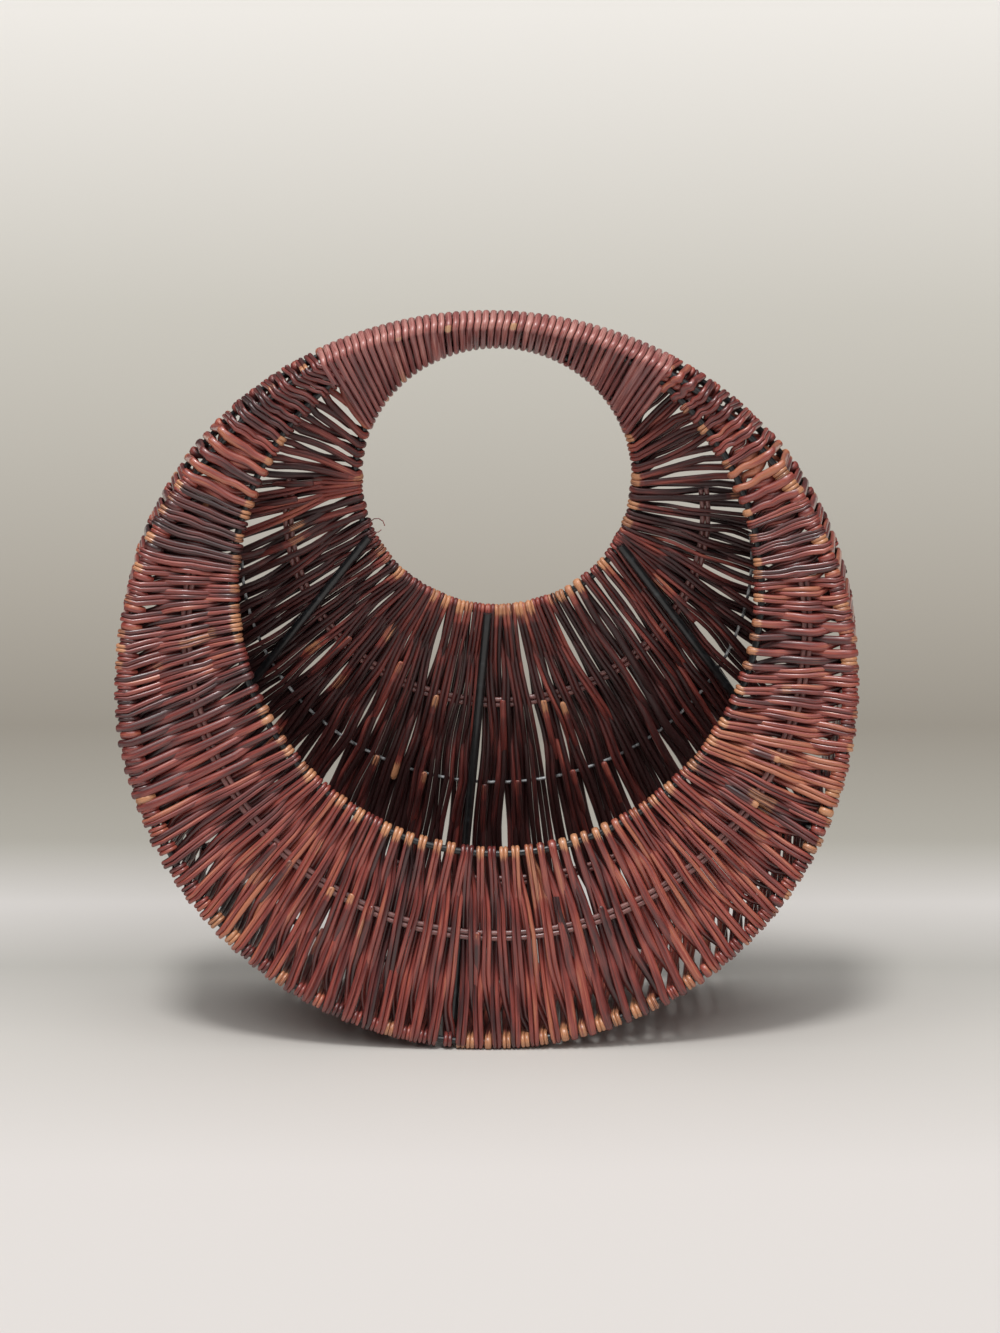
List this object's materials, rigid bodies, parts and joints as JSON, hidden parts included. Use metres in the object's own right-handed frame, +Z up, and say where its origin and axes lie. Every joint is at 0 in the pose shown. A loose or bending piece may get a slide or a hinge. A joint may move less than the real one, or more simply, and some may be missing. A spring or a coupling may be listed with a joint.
{
  "type": "wall pocket basket",
  "caption": "Round woven willow wall pocket basket on steel wire rings, wedge shaped, with a crescent mouth in front and a bound hand grip at the top.",
  "frame": {"origin": "middle of the basket's width and depth, at the floor that its base band stands on", "axes": "+Z up to the hand grip, -Y out of the front where the crescent mouth opens, +X to the right as seen from the front"},
  "size_m": [0.4627, 0.135, 0.4461],
  "materials": {
    "ring_wire": "black enamelled steel wire, satin",
    "willow_rod": "stained peeled willow rod, satin",
    "willow_weave": "stained split willow, woven, satin",
    "willow_base": "stained split willow, woven, satin",
    "grip_cane": "stained flat cane, wound close, semi gloss"
  },
  "bodies": {
    "root": {"back_outer_ring": "ring_wire", "front_outer_ring": "ring_wire", "mouth_ring": "ring_wire", "hand_ring": "ring_wire", "back_brace_wire": "ring_wire", "strut_left": "ring_wire", "strut_centre": "ring_wire", "strut_right": "ring_wire", "front_rod_inner": "willow_rod", "front_rod_outer": "willow_rod", "back_rod_inner": "willow_rod", "back_rod_outer": "willow_rod", "back_low_rod_inner": "willow_rod", "back_low_rod_outer": "willow_rod", "front_weave_upper_left": "willow_weave", "front_weave_lower_left": "willow_weave", "front_weave_lower_right": "willow_weave", "front_weave_upper_right": "willow_weave", "back_weave_upper_left": "willow_weave", "back_weave_lower_left": "willow_weave", "back_weave_lower_right": "willow_weave", "back_weave_upper_right": "willow_weave", "base_weave_upper_left": "willow_base", "base_weave_lower_left": "willow_base", "base_weave_lower_right": "willow_base", "base_weave_upper_right": "willow_base", "handle_binding": "grip_cane"}
  },
  "joints": []
}
